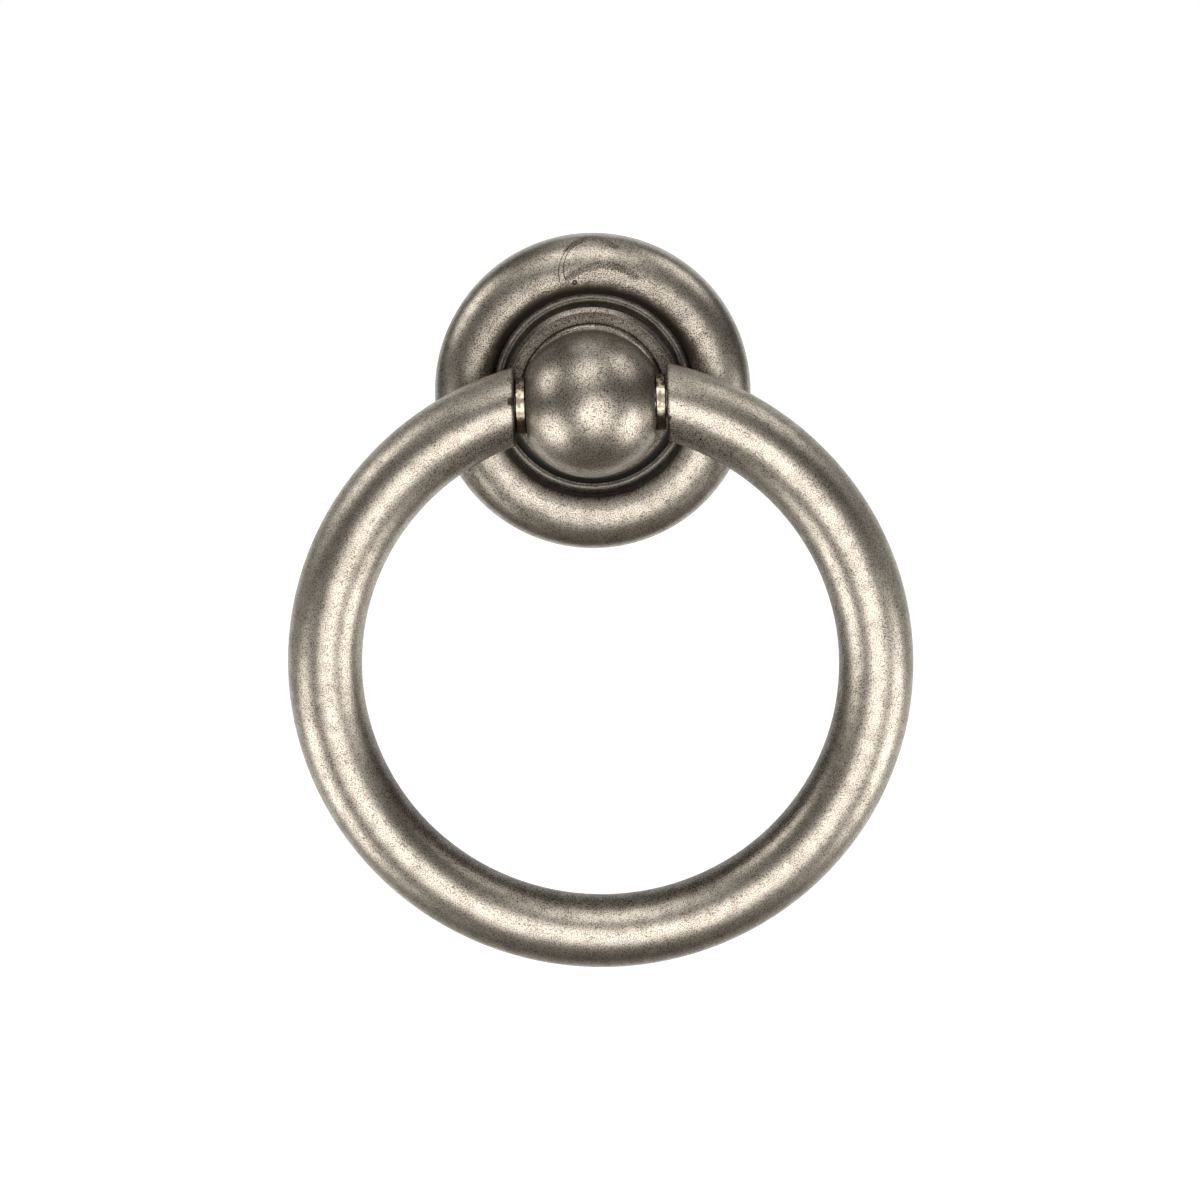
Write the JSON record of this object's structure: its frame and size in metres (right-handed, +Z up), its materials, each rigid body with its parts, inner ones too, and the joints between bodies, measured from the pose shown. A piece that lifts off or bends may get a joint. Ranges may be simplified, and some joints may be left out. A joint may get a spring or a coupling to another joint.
{
  "type": "ring pull handle",
  "caption": "Heavy round ring that swings on a pin through a ball, on a stepped round rose fixed from behind; cabinet or drawer pull.",
  "frame": {"origin": "centre of the rose's back face, where the post's fixing thread opens and the door's surface lies", "axes": "+Z up, +Y into the door, the front faces -Y, +X along the pivot pin to the right; the ring hangs down along -Z"},
  "size_m": [0.064, 0.0174, 0.0755],
  "materials": {
    "aged_pewter": "satin",
    "bright_washer": "gloss",
    "pin_steel": "satin"
  },
  "bodies": {
    "post": {"rose": "aged_pewter", "ball_post": "aged_pewter", "pivot_pin": "pin_steel", "washer_left": "bright_washer", "washer_right": "bright_washer"},
    "ring": {"ring": "aged_pewter"}
  },
  "joints": [
    {"name": "ring_swing", "type": "hinge", "parent": "post", "child": "ring", "pos_m": [0, -0.01, 0], "axis": [-1, 0, 0], "range_deg": [-6, 186]}
  ]
}
